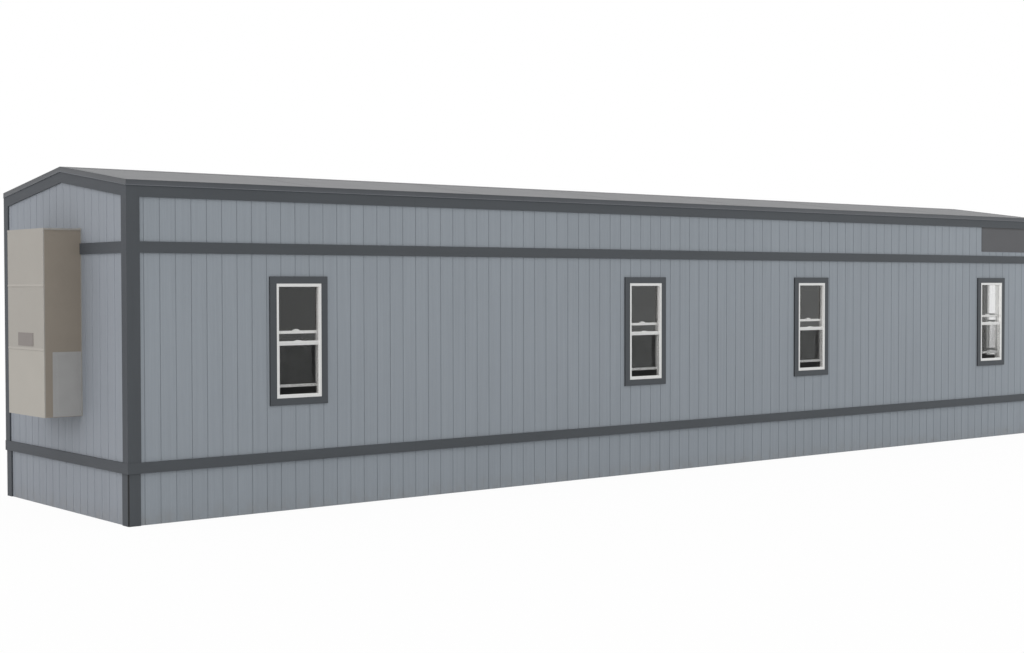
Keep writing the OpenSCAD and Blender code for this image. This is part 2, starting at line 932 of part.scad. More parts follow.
placed() main_beams();
placed() cross_members();
placed() outriggers();
placed() piers();
placed() floor_frame();
placed() floor_deck();
placed() ceiling();
placed() front_wall();
placed() back_wall();
placed() left_end_wall();
placed() right_end_wall();
placed() front_siding();
placed() back_siding();
placed() left_end_siding();
placed() right_end_siding();
placed() front_skirt();
placed() back_skirt();
placed() left_end_skirt();
placed() right_end_skirt();
placed() skirt_corner_boards();
placed() lower_belt_sides();
placed() lower_belt_ends();
placed() upper_belt();
placed() corner_boards();
placed() fascia_boards();
placed() rake_boards();
placed() roof_front_slope();
placed() roof_back_slope();
placed() eave_drip_edges();
placed() rake_drip_edges();
placed() window_casings();
placed() window_frames();
placed() lower_sashes();
placed() window_glass();
placed() insect_screens();
placed() door_casing();
placed() door_frame();
placed() door_leaf();
placed() door_lever();
placed() ac_cabinet();
placed() ac_front_panels();
placed() ac_top_cap();
placed() ac_coil_guards();
placed() ac_vent_plate();
placed() sign_board();
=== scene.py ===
"""Looks of the portable site cabin: siding, trim, windows, roof, air conditioner, light and camera.

Lengths are in metres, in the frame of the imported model: +X runs along the cabin, the long window side
faces -Y, and the ground is at z = 0.
"""
import math

import bmesh
import bpy
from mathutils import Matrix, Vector


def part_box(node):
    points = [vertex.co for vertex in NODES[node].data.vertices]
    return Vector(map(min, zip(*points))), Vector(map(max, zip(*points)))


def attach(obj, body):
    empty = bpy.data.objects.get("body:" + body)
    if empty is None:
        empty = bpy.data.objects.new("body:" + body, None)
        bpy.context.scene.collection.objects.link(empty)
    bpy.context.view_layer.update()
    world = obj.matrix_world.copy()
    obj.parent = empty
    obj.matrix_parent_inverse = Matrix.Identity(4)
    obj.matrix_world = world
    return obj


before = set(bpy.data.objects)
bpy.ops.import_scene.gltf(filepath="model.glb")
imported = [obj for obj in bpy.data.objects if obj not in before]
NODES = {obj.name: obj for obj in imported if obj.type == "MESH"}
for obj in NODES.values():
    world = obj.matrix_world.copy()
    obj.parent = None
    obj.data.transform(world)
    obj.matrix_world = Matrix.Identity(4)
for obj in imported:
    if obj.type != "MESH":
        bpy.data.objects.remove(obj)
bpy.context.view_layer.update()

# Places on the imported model


class Side:
    """One side of the cabin.

    Places on it are (along, out, up), with out measured from the siding's face.
    """

    def __init__(self, start, along, out):
        self.start, self.along, self.out = Vector(start), Vector(along), Vector(out)

    def at(self, along, out, up):
        return self.start + self.along * along + self.out * out + Vector((0.0, 0.0, up))

    def spans(self, box):
        """The ranges of a box in places of this side, as ((along, along), (out, out), (up, up))."""
        ways = [corner - self.start for corner in box]
        ends = [(way.dot(self.along), way.dot(self.out)) for way in ways]
        along, out = (tuple(sorted(pair)) for pair in zip(*ends))
        return along, out, (box[0].z, box[1].z)

    def on_wall(self, boxes):
        """The spans of those boxes that lie in or on this side's wall."""
        spans = [self.spans(box) for box in boxes]
        return [span for span in spans if -WALL_DEPTH < span[1][0] and span[1][1] > 0.0]


PLACE_DIGITS = 4


def solids(name):
    """Boxes of a node's separate solids.

    Points that share a place belong together, and so do a face's points.
    """
    data = NODES[name].data
    places = [tuple(round(value, PLACE_DIGITS) for value in vertex.co) for vertex in data.vertices]
    parent = {place: place for place in places}

    def leader(place):
        while parent[place] != place:
            parent[place] = parent[parent[place]]
            place = parent[place]
        return place

    for face in data.polygons:
        first = leader(places[face.vertices[0]])
        for index in face.vertices:
            parent[leader(places[index])] = first
    groups = {}
    for place in parent:
        groups.setdefault(leader(place), []).append(place)
    return [(Vector(map(min, zip(*group))), Vector(map(max, zip(*group)))) for group in groups.values()]


WALL_MARGIN = 0.05
FACE_TOLERANCE = 0.0005

FRONT_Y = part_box("front_siding")[0].y
BACK_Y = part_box("back_siding")[1].y
LEFT_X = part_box("left_end_siding")[0].x
RIGHT_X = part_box("right_end_siding")[1].x
WALL_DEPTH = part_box("front_wall")[1].y - FRONT_Y + WALL_MARGIN
SKIRT_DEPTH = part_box("front_skirt")[0].y - FRONT_Y

# Along runs as the siding's grooves are counted: from the left on the long sides and from the back on
# the ends
FRONT = Side((0, FRONT_Y, 0), (1, 0, 0), (0, -1, 0))
BACK = Side((0, BACK_Y, 0), (1, 0, 0), (0, 1, 0))
LEFT = Side((LEFT_X, 0, 0), (0, -1, 0), (-1, 0, 0))
RIGHT = Side((RIGHT_X, 0, 0), (0, -1, 0), (1, 0, 0))
LONG_REACH = (LEFT_X, RIGHT_X)
END_REACH = (-BACK_Y, -FRONT_Y)

WINDOW_FOOT, WINDOW_HEAD = (corner.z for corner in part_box("window_frames"))
SASH_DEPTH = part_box("lower_sashes")[0].y - FRONT_Y
RAIL_TOP = max(low.z for low, high in solids("window_glass"))
CASING_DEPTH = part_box("window_casings")[0].y - FRONT_Y
SCREEN_FRAME = 0.008
MESH_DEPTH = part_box("insect_screens")[0].y + SCREEN_FRAME / 2 - FRONT_Y

# The far room begins between windows three and four
FAR_ROOM = 6.0

AC_PANELS = sorted((LEFT.spans(box) for box in solids("ac_front_panels")), key=lambda span: span[2])
AC_FACE = LEFT.spans(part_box("ac_top_cap"))[1][1]
AC_LIP = 0.026
SIGN_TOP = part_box("sign_board")[1].z

# The roof falls by ROOF_FALL for each metre away from the ridge. The metal of its edges hangs down by
# EDGE_FACE, and the lowest EDGE_KICK of it kicks out
ROOF_LOW, ROOF_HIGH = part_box("roof_front_slope")
ROOF_POINTS = [vertex.co for vertex in NODES["roof_front_slope"].data.vertices]
EAVE_TOP = max(point.z for point in ROOF_POINTS if point.y < ROOF_LOW.y + FACE_TOLERANCE)
ROOF_FALL = (ROOF_HIGH.z - EAVE_TOP) / (ROOF_HIGH.y - ROOF_LOW.y)
EDGE_FACE = EAVE_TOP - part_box("eave_drip_edges")[0].z
EDGE_KICK = 0.009

# Siding sheets, trim boards and roof sheets as they are sold, and the studs that hold them
SHEET_WIDTH = 1.2192
BOARD_LENGTH = 4.8768
ROOF_SHEET = 3.048
STUD_SPACING = 0.4064

# Materials


def srgb(red, green, blue):
    """A colour given as 0 to 255 display values, as the linear colour that shaders take."""
    def linear(value):
        share = value / 255
        return share / 12.92 if share <= 0.04045 else ((share + 0.055) / 1.055) ** 2.4
    return (linear(red), linear(green), linear(blue), 1.0)


SIDING = srgb(141, 148, 155)
# The end walls' siding is a darker, less green copy of the same paint: painted shade
SHADED_END_SIDING = srgb(139, 145, 153)
TRIM = srgb(75, 79, 83)
# The trim's colour on faces that look along the cabin is a darker copy: painted shade
SHADED_END_TRIM = srgb(72, 76, 81)
DUST = srgb(126, 120, 110)
# A whiter vinyl colour for the window reveals: painted light
REVEAL_PAINTED_LIGHT_VINYL = srgb(252, 252, 250)
# Clean vinyl of the sashes, made whiter as painted light because they lie back behind the glass
SASH_VINYL_PAINTED_LIGHT = srgb(236, 236, 234)
DUSTY_VINYL = srgb(217, 218, 217)
LINING = srgb(84, 80, 75)

NOISE_ROUGHNESS = 0.55
NOISE_MIDDLE = (0.3, 0.7)

# Numbers of a Mix node's two colour inputs and of its colour output
MIX_FIRST, MIX_SECOND, MIX_RESULT = 6, 7, 2

# A face looks a certain way where that part of its direction is over this share
LOOKS_THAT_WAY = 0.5


class Surface:
    """A material's node tree around one Principled shader.

    Its short calls make the nodes that the surfaces share.
    """

    def __init__(self, name):
        self.material = bpy.data.materials.new(name)
        self.material.use_nodes = True
        self.tree = self.material.node_tree
        self.tree.nodes.clear()
        self.shader = self.add("ShaderNodeBsdfPrincipled")
        output = self.add("ShaderNodeOutputMaterial")
        self.tree.links.new(self.shader.outputs["BSDF"], output.inputs["Surface"])
        self.coordinates = self.add("ShaderNodeTexCoord")
        self.place = self.coordinates.outputs["Object"]
        axes = self.add("ShaderNodeSeparateXYZ")
        self.feed(axes.inputs[0], self.place)
        self.x, self.y, self.z = axes.outputs

    def add(self, kind, **settings):
        node = self.tree.nodes.new(kind)
        for key, value in settings.items():
            setattr(node, key, value)
        return node

    def feed(self, socket, source):
        if isinstance(source, bpy.types.NodeSocket):
            self.tree.links.new(source, socket)
        else:
            socket.default_value = source

    def set(self, **sockets):
        """Feeds the shader's sockets, with _ for a space in a socket's name."""
        for name, source in sockets.items():
            self.feed(self.shader.inputs[name.replace("_", " ")], source)

    def math(self, operation, first, second=0.0):
        node = self.add("ShaderNodeMath", operation=operation)
        for socket, source in zip(node.inputs, (first, second)):
            self.feed(socket, source)
        return node.outputs[0]

    def noise(self, scales, detail=3.0):
        """Fractal noise with a number of features per metre along each axis."""
        stretched = self.add("ShaderNodeVectorMath", operation="MULTIPLY")
        self.feed(stretched.inputs[0], self.place)
        self.feed(stretched.inputs[1], scales)
        node = self.add("ShaderNodeTexNoise")
        self.feed(node.inputs["Vector"], stretched.outputs[0])
        self.feed(node.inputs["Scale"], 1.0)
        self.feed(node.inputs["Detail"], detail)
        self.feed(node.inputs["Roughness"], NOISE_ROUGHNESS)
        return node.outputs["Fac"]

    def spread(self, source, low, high, start=0.0, end=1.0):
        """Turns start..end of a source into low..high, clamped."""
        node = self.add("ShaderNodeMapRange")
        for socket, value in zip(node.inputs, (source, start, end, low, high)):
            self.feed(socket, value)
        return node.outputs[0]

    def vary(self, noise, low, high):
        """Turns the middle range of a noise into low..high."""
        return self.spread(noise, low, high, *NOISE_MIDDLE)

    def tint(self, colour, factor):
        """A colour multiplied by a grey factor."""
        node = self.add("ShaderNodeVectorMath", operation="SCALE")
        linked = isinstance(colour, bpy.types.NodeSocket)
        self.feed(node.inputs[0], colour if linked else colour[:3])
        self.feed(node.inputs["Scale"], factor)
        return node.outputs[0]

    def blend(self, factor, first, second):
        """The first colour where the factor is 0, and the second where it is 1."""
        node = self.add("ShaderNodeMix", data_type="RGBA")
        self.feed(node.inputs["Factor"], factor)
        self.feed(node.inputs[MIX_FIRST], first)
        self.feed(node.inputs[MIX_SECOND], second)
        return node.outputs[MIX_RESULT]

    def cells(self, size):
        """A fixed random value for each square of that size in plan."""
        node = self.add("ShaderNodeTexWhiteNoise", noise_dimensions="2D")
        joined = self.add("ShaderNodeCombineXYZ")
        for socket, axis in zip(joined.inputs, (self.x, self.y)):
            self.feed(socket, self.math("FLOOR", self.math("DIVIDE", axis, size)))
        self.feed(node.inputs["Vector"], joined.outputs[0])
        return node.outputs["Value"]

    def lines(self, axis, spacing, width):
        """1 on thin lines at a regular spacing along an axis, and 0 between them."""
        share = self.math("FRACT", self.math("DIVIDE", axis, spacing))
        return self.math("LESS_THAN", share, width / spacing)

    def depth(self):
        """Distance behind the siding's face of the nearest wall."""
        front = self.math("SUBTRACT", self.y, FRONT_Y)
        back = self.math("SUBTRACT", BACK_Y, self.y)
        left = self.math("SUBTRACT", self.x, LEFT_X)
        right = self.math("SUBTRACT", RIGHT_X, self.x)
        from_side = self.math("MINIMUM", front, back)
        from_end = self.math("MINIMUM", left, right)
        return self.math("MINIMUM", from_side, from_end)

    def on_end(self):
        """1 in the end wall that has a window, and 0 elsewhere."""
        return self.math("GREATER_THAN", self.x, RIGHT_X - WALL_DEPTH)

    def normal(self):
        """The three parts of the surface's direction."""
        axes = self.add("ShaderNodeSeparateXYZ")
        self.feed(axes.inputs[0], self.coordinates.outputs["Normal"])
        return axes.outputs

    def facing_out(self):
        """1 on faces that are parallel to the wall they are in, and 0 on faces square to it."""
        x, y, _ = self.normal()
        return self.math("ABSOLUTE", self.blend(self.on_end(), y, x))

    def facing_end(self):
        """1 on faces that look along the cabin, and 0 on the others."""
        return self.math("GREATER_THAN", self.math("ABSOLUTE", self.normal()[0]), LOOKS_THAT_WAY)

    def raise_by(self, height, distance):
        """Bumps the surface by a height between 0 and 1, times a distance."""
        node = self.add("ShaderNodeBump")
        self.feed(node.inputs["Height"], height)
        self.feed(node.inputs["Distance"], distance)
        self.feed(node.inputs["Strength"], 1.0)
        self.set(Normal=node.outputs[0])


# Features per metre along x, y and z
SIDING_GRAIN = (240, 240, 5)
SIDING_STREAKS = (30, 30, 0.5)
SIDING_CLOUDS = (1.3, 1.3, 0.7)
SPLASH_SPOTS = (9, 9, 5)
FLAT_GRAIN, FLAT_BANDS = (6, 6, 320), (0.8, 0.8, 9)
TALL_GRAIN, TALL_BANDS = (320, 320, 6), (9, 9, 0.8)
SOFT_CLOUDS = (3, 3, 3)
COATING_PEEL = (300, 300, 300)

SPLASH_HEIGHT = 0.22
SPLASH_SHARE = 0.35
# Painted shade darkens the long walls' grooves, and painted light pales the ends' grooves
LONG_GROOVE_PAINTED_SHADE = 0.84
END_GROOVE_PAINTED_LIGHT = 1.24


def siding_paint(name, colour, face_depth, groove_painted_shading):
    """Satin paint over rough-sawn grooved sheets, with upright grain and dust low down.

    The sheets differ a little from each other. The grooves, which lie behind the sheets' face, are
    painted darker on the long walls as painted shade, and paler on the ends as painted light.
    """
    s = Surface(name)
    grain = s.noise(SIDING_GRAIN, 4)
    streaks = s.noise(SIDING_STREAKS, 4)
    clouds = s.noise(SIDING_CLOUDS, 3)
    shade = s.math("ADD", s.vary(streaks, -0.035, 0.035), s.vary(grain, -0.03, 0.03))
    shade = s.math("ADD", shade, s.vary(clouds, -0.02, 0.02))
    shade = s.math("ADD", shade, s.spread(s.cells(SHEET_WIDTH), 0.985, 1.015))
    # Painted shade in the long walls' grooves and painted light in the ends' grooves
    in_groove = s.math("GREATER_THAN", s.depth(), face_depth + FACE_TOLERANCE)
    shade = s.math("MULTIPLY", shade, s.spread(in_groove, 1.0, groove_painted_shading))
    low = s.spread(s.z, 1.0, 0.0, 0.0, SPLASH_HEIGHT)
    spots = s.spread(s.noise(SPLASH_SPOTS, 4), 0.0, SPLASH_SHARE, 0.35, 0.75)
    splash = s.math("MULTIPLY", low, spots)
    s.set(
        Base_Color=s.blend(splash, s.tint(colour, shade), DUST),
        Roughness=s.vary(grain, 0.6, 0.8),
        Specular_IOR_Level=0.2,
    )
    s.raise_by(grain, 0.0008)
    return s.material


BOARD_JOINT = 0.002
CASING_JOINT = 0.0008
JOINT_SHADE = 0.55
CASING_EDGE_SHADE = 0.3


def trim_finish(s, grain, bands, darker=1.0):
    """Satin dark paint on planed boards, with painted shade on faces that look along the cabin.

    It is multiplied by a factor that is below 1 in joints and on the casings' edge faces.
    """
    shade = s.math("ADD", s.vary(bands, 0.96, 1.04), s.vary(grain, -0.04, 0.04))
    colour = s.blend(s.facing_end(), TRIM, SHADED_END_TRIM)
    s.set(
        Base_Color=s.tint(colour, s.math("MULTIPLY", shade, darker)),
        Roughness=s.vary(grain, 0.55, 0.72),
        Specular_IOR_Level=0.2,
    )
    s.raise_by(grain, 0.0006)
    return s.material


def trim_along():
    """Boards that lie along the cabin, with a joint after each board's length."""
    s = Surface("trim_along")
    joints = s.spread(s.lines(s.x, BOARD_LENGTH, BOARD_JOINT), 1.0, JOINT_SHADE)
    return trim_finish(s, s.noise(FLAT_GRAIN, 4), s.noise(FLAT_BANDS), joints)


def trim_upright():
    """Boards that stand upright, in one length."""
    s = Surface("trim_upright")
    return trim_finish(s, s.noise(TALL_GRAIN, 4), s.noise(TALL_BANDS))


def trim_casing():
    """Boards round the windows and the door.

    They stand beside the opening, and lie above its head and below its foot. Their edge faces are
    darker than their front faces.
    """
    s = Surface("trim_casing")
    middle = (WINDOW_HEAD + WINDOW_FOOT) / 2
    off_middle = s.math("ABSOLUTE", s.math("SUBTRACT", s.z, middle))
    past_end = s.math("SUBTRACT", off_middle, WINDOW_HEAD - middle)
    lying = s.math("GREATER_THAN", past_end, 0.0)
    grain = s.blend(lying, s.noise(TALL_GRAIN, 4), s.noise(FLAT_GRAIN, 4))
    bands = s.blend(lying, s.noise(TALL_BANDS), s.noise(FLAT_BANDS))
    in_joint = s.math("LESS_THAN", s.math("ABSOLUTE", past_end), CASING_JOINT)
    # The casings' edge faces are darker than their front faces
    on_edge = s.math("GREATER_THAN", s.depth(), CASING_DEPTH + FACE_TOLERANCE)
    joints = s.spread(in_joint, 1.0, JOINT_SHADE)
    edges = s.spread(on_edge, 1.0, CASING_EDGE_SHADE)
    return trim_finish(s, grain, bands, s.math("MULTIPLY", joints, edges))


ROUGHNESS_SPREAD = 0.06


def plain_paint(name, colour, scale, depth, roughness, metallic=0.0, variation=0.04, specular=0.3):
    """A coated surface with a fine orange-peel texture and soft differences in tone."""
    s = Surface(name)
    peel = s.noise((scale, scale, scale), 2)
    clouds = s.noise(SOFT_CLOUDS, 4)
    s.set(
        Base_Color=s.tint(colour, s.vary(clouds, 1 - variation, 1 + variation)),
        Roughness=s.vary(peel, roughness - ROUGHNESS_SPREAD, roughness + ROUGHNESS_SPREAD),
        Metallic=metallic,
        Specular_IOR_Level=specular,
    )
    s.raise_by(peel, depth)
    return s.material


SIGN_COLOUR = srgb(78, 79, 82)
# Painted shadow that the fascia casts on the sign's top
FASCIA_SHADOW_SHADE = 0.6
FASCIA_SHADOW_FADE = (0.015, 0.04)


def sign_finish():
    """Smooth paint on the bare sign board, with a painted shadow of the fascia along its top."""
    s = Surface("sign_paint")
    peel = s.noise(COATING_PEEL, 2)
    clouds = s.noise(SOFT_CLOUDS, 4)
    fascia_shadow = s.spread(s.math("SUBTRACT", SIGN_TOP, s.z), FASCIA_SHADOW_SHADE, 1.0, *FASCIA_SHADOW_FADE)
    shade = s.math("MULTIPLY", fascia_shadow, s.vary(clouds, 0.96, 1.04))
    s.set(
        Base_Color=s.tint(SIGN_COLOUR, shade),
        Roughness=s.vary(peel, 0.44, 0.56),
        Specular_IOR_Level=0.3,
    )
    s.raise_by(peel, 0.0002)
    return s.material


EDGE_COLOUR = srgb(73, 76, 80)
EDGE_WAVES = (1.5, 1.5, 1.5)
EDGE_PAINTED_LIGHT = 1.3
EDGE_FOOT_HIGHLIGHT = 1.6
ROOF_JOINT = 0.003


def edge_paint():
    """Coated folded metal along the roof's edges, with joints between its lengths.

    It is painted paler towards its kicked-out foot, with a painted highlight on the kick itself.
    """
    s = Surface("edge_metal")
    peel = s.noise(COATING_PEEL, 2)
    waves = s.noise(EDGE_WAVES)
    fallen = s.math("MULTIPLY", s.math("ABSOLUTE", s.y), ROOF_FALL)
    roof_top = s.math("SUBTRACT", ROOF_HIGH.z, fallen)
    drop = s.math("SUBTRACT", roof_top, s.z)
    # Painted light: paler down the face, and a painted highlight on the kicked-out foot
    lit_towards_foot = s.spread(drop, 1.0, EDGE_PAINTED_LIGHT, 0.0, EDGE_FACE - EDGE_KICK)
    in_foot = s.math("GREATER_THAN", drop, EDGE_FACE - EDGE_KICK)
    foot = s.spread(in_foot, 1.0, EDGE_FOOT_HIGHLIGHT)
    joints = s.spread(s.lines(s.x, ROOF_SHEET, ROOF_JOINT), 1.0, JOINT_SHADE)
    uneven = s.math("MULTIPLY", joints, s.vary(waves, 0.95, 1.05))
    shade = s.math("MULTIPLY", s.math("MULTIPLY", lit_towards_foot, foot), uneven)
    s.set(
        Base_Color=s.tint(EDGE_COLOUR, shade),
        Roughness=s.vary(peel, 0.38, 0.5),
        Specular_IOR_Level=0.25,
    )
    s.raise_by(waves, 0.004)
    return s.material


AC_PEEL = (500, 500, 500)
AC_BEIGE = srgb(156, 153, 147)
AC_PALE_BEIGE = srgb(164, 161, 154)
AC_LIP_HIGHLIGHT = 1.09


def ac_front_paint():
    """Textured beige paint, paler on the lower panel, with painted highlights on the seam lips."""
    s = Surface("ac_front_paint")
    peel = s.noise(AC_PEEL, 2)
    clouds = s.noise(SOFT_CLOUDS, 4)
    lower = s.math("LESS_THAN", s.z, AC_PANELS[0][2][1])
    colour = s.blend(lower, AC_BEIGE, AC_PALE_BEIGE)
    # Painted highlights on the lips above the seams
    lit_lips = 0.0
    for _, _, up in AC_PANELS[1:]:
        above_foot = s.math("SUBTRACT", s.z, up[0])
        over = s.math("GREATER_THAN", above_foot, 0.0)
        under = s.math("LESS_THAN", above_foot, AC_LIP)
        lit_lips = s.math("ADD", lit_lips, s.math("MULTIPLY", over, under))
    shade = s.math("MULTIPLY", s.vary(clouds, 0.985, 1.015), s.spread(lit_lips, 1.0, AC_LIP_HIGHLIGHT))
    s.set(
        Base_Color=s.tint(colour, shade),
        Roughness=s.vary(peel, 0.45, 0.6),
        Specular_IOR_Level=0.25,
    )
    s.raise_by(peel, 0.0004)
    return s.material


VINYL_PEEL = (200, 200, 200)
VINYL_FILM = (18, 18, 6)


def window_vinyl(name, colour_at):
    """White vinyl with a thin film of dust; colour_at gives its colour by the place on the window."""
    s = Surface(name)
    peel = s.noise(VINYL_PEEL, 2)
    film = s.noise(VINYL_FILM, 4)
    s.set(
        Base_Color=s.tint(colour_at(s), s.vary(film, 0.98, 1.01)),
        Roughness=s.vary(peel, 0.4, 0.5),
        Specular_IOR_Level=0.3,
    )
    s.raise_by(peel, 0.0002)
    return s.material


def frame_colour(s):
    """Dusty on outward faces, and whiter between them, where the whiteness is painted light.

    Behind the sash's track it has the lining's colour as painted shade, but is white in the far room's
    long walls.
    """
    outward = s.math("GREATER_THAN", s.facing_out(), LOOKS_THAT_WAY)
    inside = s.math("GREATER_THAN", s.depth(), SASH_DEPTH + FACE_TOLERANCE)
    long_wall = s.math("SUBTRACT", 1.0, s.on_end())
    far_room = s.math("MULTIPLY", s.math("GREATER_THAN", s.x, FAR_ROOM), long_wall)
    # Painted shade: the lining's colour on the vinyl behind the sash's track
    shaded_behind_track = s.math("MULTIPLY", inside, s.math("SUBTRACT", 1.0, far_room))
    return s.blend(shaded_behind_track, s.blend(outward, REVEAL_PAINTED_LIGHT_VINYL, DUSTY_VINYL), LINING)


def sash_colour(s):
    """Clean and whiter than the frame's outward faces, partly painted light; greyer towards the foot.
    """
    low = s.spread(s.z, 1.0, 0.0, WINDOW_FOOT, RAIL_TOP)
    return s.blend(low, SASH_VINYL_PAINTED_LIGHT, DUSTY_VINYL)


PANE_COLOUR = srgb(186, 188, 187)
PANE_SMEARS = (5, 5, 8)
MIRRORED_FACING, MIRRORED_SLANTED = 0.036, 0.226
GLANCING_SHARE, GLANCING_POWER = 0.6, 5.0
SASH_PAINTED_SHADE, COVERED_PAINTED_SHADE = 0.12, 0.85


def pane_glass():
    """Grey-tinted panes that mirror a small share of what is in front of them, more at a slant.

    The sash's panes mirror less than the fixed ones, least of all where a fixed pane is in front of
    them: this weaker mirroring is painted shade.
    """
    s = Surface("pane_glass")
    smear = s.noise(PANE_SMEARS, 4)
    slant = s.add("ShaderNodeLayerWeight").outputs["Facing"]
    glancing = s.math("MULTIPLY", s.math("POWER", slant, GLANCING_POWER), GLANCING_SHARE)
    mirrored = s.math("ADD", s.spread(slant, MIRRORED_FACING, MIRRORED_SLANTED), glancing)
    # Painted shade on the sash panes' reflection, most where a fixed pane covers them
    in_sash = s.math("GREATER_THAN", s.depth(), SASH_DEPTH)
    covered = s.math("GREATER_THAN", s.z, RAIL_TOP)
    painted_shade = s.math("MULTIPLY", in_sash, s.spread(covered, SASH_PAINTED_SHADE, COVERED_PAINTED_SHADE))
    s.set(
        Base_Color=s.tint(PANE_COLOUR, s.vary(smear, 0.97, 1.03)),
        Roughness=s.spread(smear, 0.0, 0.03, 0.45, 0.8),
        Metallic=1.0,
        Alpha=s.math("MULTIPLY", mirrored, s.math("SUBTRACT", 1.0, painted_shade)),
    )
    return s.material


MESH_COLOUR = srgb(38, 40, 41)
MESH_DUST = (40, 40, 40)
MESH_PITCH, MESH_THREAD = 0.0015, 0.00012
MESH_HALF_DEPTH = 0.001


def insect_mesh():
    """Dark woven mesh that is open between its threads, in a white frame."""
    s = Surface("insect_mesh")
    upright = s.lines(s.math("ADD", s.x, s.y), MESH_PITCH, MESH_THREAD)
    lying = s.lines(s.z, MESH_PITCH, MESH_THREAD)
    threads = s.math("MAXIMUM", upright, lying)
    off_middle = s.math("ABSOLUTE", s.math("SUBTRACT", s.depth(), MESH_DEPTH))
    rim = s.math("GREATER_THAN", off_middle, MESH_HALF_DEPTH)
    dusty = s.vary(s.noise(MESH_DUST), 0.9, 1.1)
    s.set(
        Base_Color=s.tint(s.blend(rim, MESH_COLOUR, DUSTY_VINYL), dusty),
        Roughness=0.6,
        Alpha=s.math("MAXIMUM", rim, threads),
    )
    return s.material


long_siding = siding_paint("long_siding_paint", SIDING, 0.0, LONG_GROOVE_PAINTED_SHADE)
long_skirt = siding_paint("long_skirt_paint", SIDING, SKIRT_DEPTH, LONG_GROOVE_PAINTED_SHADE)
end_siding = siding_paint("end_siding_paint", SHADED_END_SIDING, 0.0, END_GROOVE_PAINTED_LIGHT)
end_skirt = siding_paint("end_skirt_paint", SHADED_END_SIDING, SKIRT_DEPTH, END_GROOVE_PAINTED_LIGHT)
lying_trim = trim_along()
upright_trim = trim_upright()
casing_trim = trim_casing()
sign_paint = sign_finish()
roof = plain_paint("roof_membrane", srgb(131, 132, 134), scale=400, depth=0.0004, roughness=0.8)
edge_metal = edge_paint()
door_paint = plain_paint("door_paint", srgb(82, 86, 90), scale=300, depth=0.0003, roughness=0.45)
frame_vinyl = window_vinyl("frame_vinyl", frame_colour)
sash_vinyl = window_vinyl("sash_vinyl", sash_colour)
steel_paint = plain_paint("chassis_paint", srgb(52, 55, 58), scale=150, depth=0.0006, roughness=0.55)
concrete = plain_paint("concrete", srgb(150, 149, 144), scale=120, depth=0.002, roughness=0.9)
plywood = plain_paint("deck_ply", srgb(120, 104, 84), scale=60, depth=0.0008, roughness=0.75)
lining = plain_paint("room_lining", LINING, scale=80, depth=0.0006, roughness=0.7)
ac_paint = ac_front_paint()
ac_shade = plain_paint(
    "ac_shade", srgb(142, 134, 123), scale=500, depth=0.0004, roughness=0.55, variation=0.03
)
ac_plate = plain_paint(
    "ac_plate", srgb(125, 120, 117), scale=500, depth=0.0004, roughness=0.55, variation=0.02
)
guard_metal = plain_paint("guard_metal", srgb(161, 161, 160), scale=300, depth=0.0003, roughness=0.45)
satin_steel = plain_paint(
    "satin_steel", srgb(176, 178, 180), scale=400, depth=0.0001, roughness=0.3,
    metallic=1.0, specular=0.5,
)
# Dark sheets that stand in for the shade in the skirt's open corners: painted shade
corner_shade_paint = plain_paint("corner_painted_shade", srgb(38, 39, 40), scale=300, depth=0.0005, roughness=0.85)
rubber = plain_paint("rubber", srgb(66, 67, 68), scale=300, depth=0.0003, roughness=0.7)
sealant = plain_paint("sealant", srgb(128, 128, 125), scale=150, depth=0.0004, roughness=0.6)
glass = pane_glass()
mesh = insect_mesh()

FINISH = {
    "main_beams": steel_paint, "cross_members": steel_paint, "outriggers": steel_paint,
    "floor_frame": steel_paint, "piers": concrete, "floor_deck": plywood, "ceiling": lining,
    "front_wall": lining, "back_wall": lining, "left_end_wall": lining, "right_end_wall": lining,
    "front_siding": long_siding, "back_siding": long_siding,
    "front_skirt": long_skirt, "back_skirt": long_skirt,
    "left_end_siding": end_siding, "right_end_siding": end_siding,
    "left_end_skirt": end_skirt, "right_end_skirt": end_skirt,
    "skirt_corner_boards": upright_trim, "corner_boards": upright_trim,
    "lower_belt_sides": lying_trim, "lower_belt_ends": lying_trim, "upper_belt": lying_trim,
    "fascia_boards": lying_trim, "rake_boards": lying_trim,
    "window_casings": casing_trim, "door_casing": casing_trim,
    "door_frame": upright_trim, "door_leaf": door_paint, "door_lever": satin_steel,
    "sign_board": sign_paint, "roof_front_slope": roof, "roof_back_slope": roof,
    "eave_drip_edges": edge_metal, "rake_drip_edges": edge_metal,
    "window_frames": frame_vinyl, "lower_sashes": sash_vinyl,
    "window_glass": glass, "insect_screens": mesh,
    "ac_cabinet": ac_shade, "ac_vent_plate": ac_plate, "ac_coil_guards": guard_metal,
    "ac_front_panels": ac_paint, "ac_top_cap": ac_paint,
}
for name, material in FINISH.items():
    NODES[name].data.materials.clear()
    NODES[name].data.materials.append(material)

# Shapes of the added pieces

HEAD_CORNERS = 8
HEAD_TOP_SHARE = 0.7


